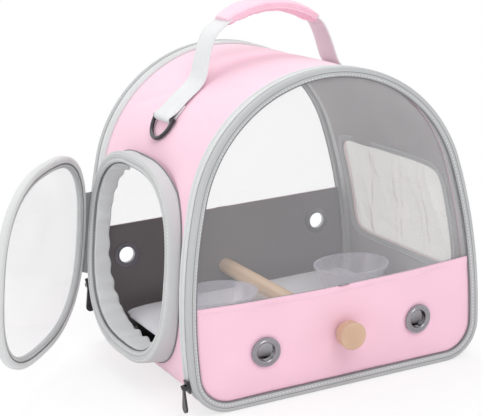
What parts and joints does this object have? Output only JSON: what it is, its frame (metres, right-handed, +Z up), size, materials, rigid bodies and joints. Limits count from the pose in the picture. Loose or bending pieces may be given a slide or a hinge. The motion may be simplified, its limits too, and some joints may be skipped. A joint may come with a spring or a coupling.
{
  "type": "bird travel carrier",
  "caption": "Arched soft-sided travel carrier for a small bird, with a clear front and rear, a zipped side door, a mesh window, a wooden perch, a padded handle and rings for a strap",
  "frame": {"origin": "On the floor under the middle of the shell, on the bottom face of the base panel", "axes": "+X to the right of someone facing the front, -Y to the front, +Z up"},
  "size_m": [0.4549, 0.2988, 0.352],
  "materials": {
    "pink_cloth": "smooth coated oxford cloth",
    "grey_lining": "plain lining cloth",
    "light_binding": "woven binding tape",
    "mid_binding": "folded binding tape",
    "zip_coil": "nylon coil",
    "clear_sheet": "clear flexible sheet",
    "mesh_cloth": "fine breathing mesh",
    "webbing": "woven webbing",
    "black_metal": "black painted",
    "eyelet_metal": "dark nickel",
    "wood": "bare sanded beech",
    "screw_steel": "zinc plated",
    "mat_cloth": "soft padded cloth",
    "board": "stiff board",
    "bowl_plastic": "clear moulded"
  },
  "bodies": {
    "carrier": {"body_wrap": "pink_cloth", "wrap_lining": "grey_lining", "base_panel": "pink_cloth", "floor_tray": "board", "front_piping": "light_binding", "front_zip_tape": "light_binding", "front_zip_coil": "zip_coil", "rear_piping": "light_binding", "rear_zip_tape": "light_binding", "rear_zip_coil": "zip_coil", "rear_binding": "mid_binding", "rear_skirt": "pink_cloth", "rear_skirt_lining": "grey_lining", "rear_window": "clear_sheet", "rear_eyelets": "eyelet_metal", "rear_eyelet_washers": "eyelet_metal", "perch": "wood", "doorway_trim": "light_binding", "doorway_zip": "zip_coil", "doorway_lip": "mid_binding", "doorway_hinge_tape": "mid_binding", "mesh_window": "mesh_cloth", "mesh_frame": "mid_binding", "left_strap": "webbing", "right_strap": "webbing", "left_ring_loop": "webbing", "right_ring_loop": "webbing", "front_hinge_tape": "mid_binding", "door_zip_slider": "black_metal", "front_zip_slider": "black_metal"},
    "side_door": {"door_binding": "light_binding", "door_window": "clear_sheet", "door_zip": "zip_coil", "door_hinge_tape": "mid_binding"},
    "front_panel": {"front_binding": "mid_binding", "front_window": "clear_sheet", "front_skirt": "pink_cloth", "front_skirt_lining": "grey_lining", "front_eyelets": "eyelet_metal", "front_eyelet_washers": "eyelet_metal"},
    "front_knob": {"front_knob": "wood", "front_screw": "screw_steel"},
    "rear_knob": {"rear_knob": "wood", "rear_screw": "screw_steel"},
    "handle": {"handle_strap": "webbing", "handle_grip": "pink_cloth"},
    "left_ring": {"left_ring": "black_metal"},
    "right_ring": {"right_ring": "black_metal"},
    "door_zip_pull": {"door_zip_pull": "black_metal"},
    "front_zip_pull": {"front_zip_pull": "black_metal"},
    "floor_mat": {"floor_mat": "mat_cloth"},
    "left_bowl": {"left_bowl": "bowl_plastic"},
    "right_bowl": {"right_bowl": "bowl_plastic"}
  },
  "joints": [
    {"name": "door_swing", "type": "hinge", "parent": "carrier", "child": "side_door", "pos_m": [-0.158, 0.1085, 0.124], "axis": [0, 0, 1], "range_deg": [-80, 40]},
    {"name": "front_panel_drop", "type": "hinge", "parent": "carrier", "child": "front_panel", "pos_m": [0, -0.1288, 0], "axis": [1, 0, 0], "range_deg": [0, 48]},
    {"name": "front_knob_turn", "type": "hinge", "parent": "front_panel", "child": "front_knob", "pos_m": [0, -0.14, 0.056], "axis": [0, 1, 0], "continuous": true},
    {"name": "rear_knob_turn", "type": "hinge", "parent": "carrier", "child": "rear_knob", "pos_m": [0, 0.14, 0.056], "axis": [0, 1, 0], "continuous": true},
    {"name": "handle_tilt", "type": "hinge", "parent": "carrier", "child": "handle", "pos_m": [0, 0, 0.298], "axis": [1, 0, 0], "range_deg": [-50, 50]},
    {"name": "left_ring_swing", "type": "hinge", "parent": "carrier", "child": "left_ring", "pos_m": [-0.10809, 0, 0.2507], "axis": [0, 1, 0], "range_deg": [0, 130]},
    {"name": "right_ring_swing", "type": "hinge", "parent": "carrier", "child": "right_ring", "pos_m": [0.10809, 0, 0.2507], "axis": [0, -1, 0], "range_deg": [0, 130]},
    {"name": "door_pull_flap", "type": "hinge", "parent": "carrier", "child": "door_zip_pull", "pos_m": [-0.163, 0.10355, 0.06999], "axis": [1, 0, 0], "range_deg": [0, 110]},
    {"name": "front_pull_flap", "type": "hinge", "parent": "carrier", "child": "front_zip_pull", "pos_m": [-0.15626, -0.1204, 0.02902], "axis": [0, 1, 0], "range_deg": [0, 110]},
    {"name": "mat_lift", "type": "slide", "parent": "carrier", "child": "floor_mat", "axis": [0, 0, 1], "range_m": [0, 0.005]},
    {"name": "left_bowl_lift", "type": "slide", "parent": "floor_mat", "child": "left_bowl", "axis": [0, 0, 1], "range_m": [0, 0.05]},
    {"name": "right_bowl_lift", "type": "slide", "parent": "floor_mat", "child": "right_bowl", "axis": [0, 0, 1], "range_m": [0, 0.05]}
  ]
}
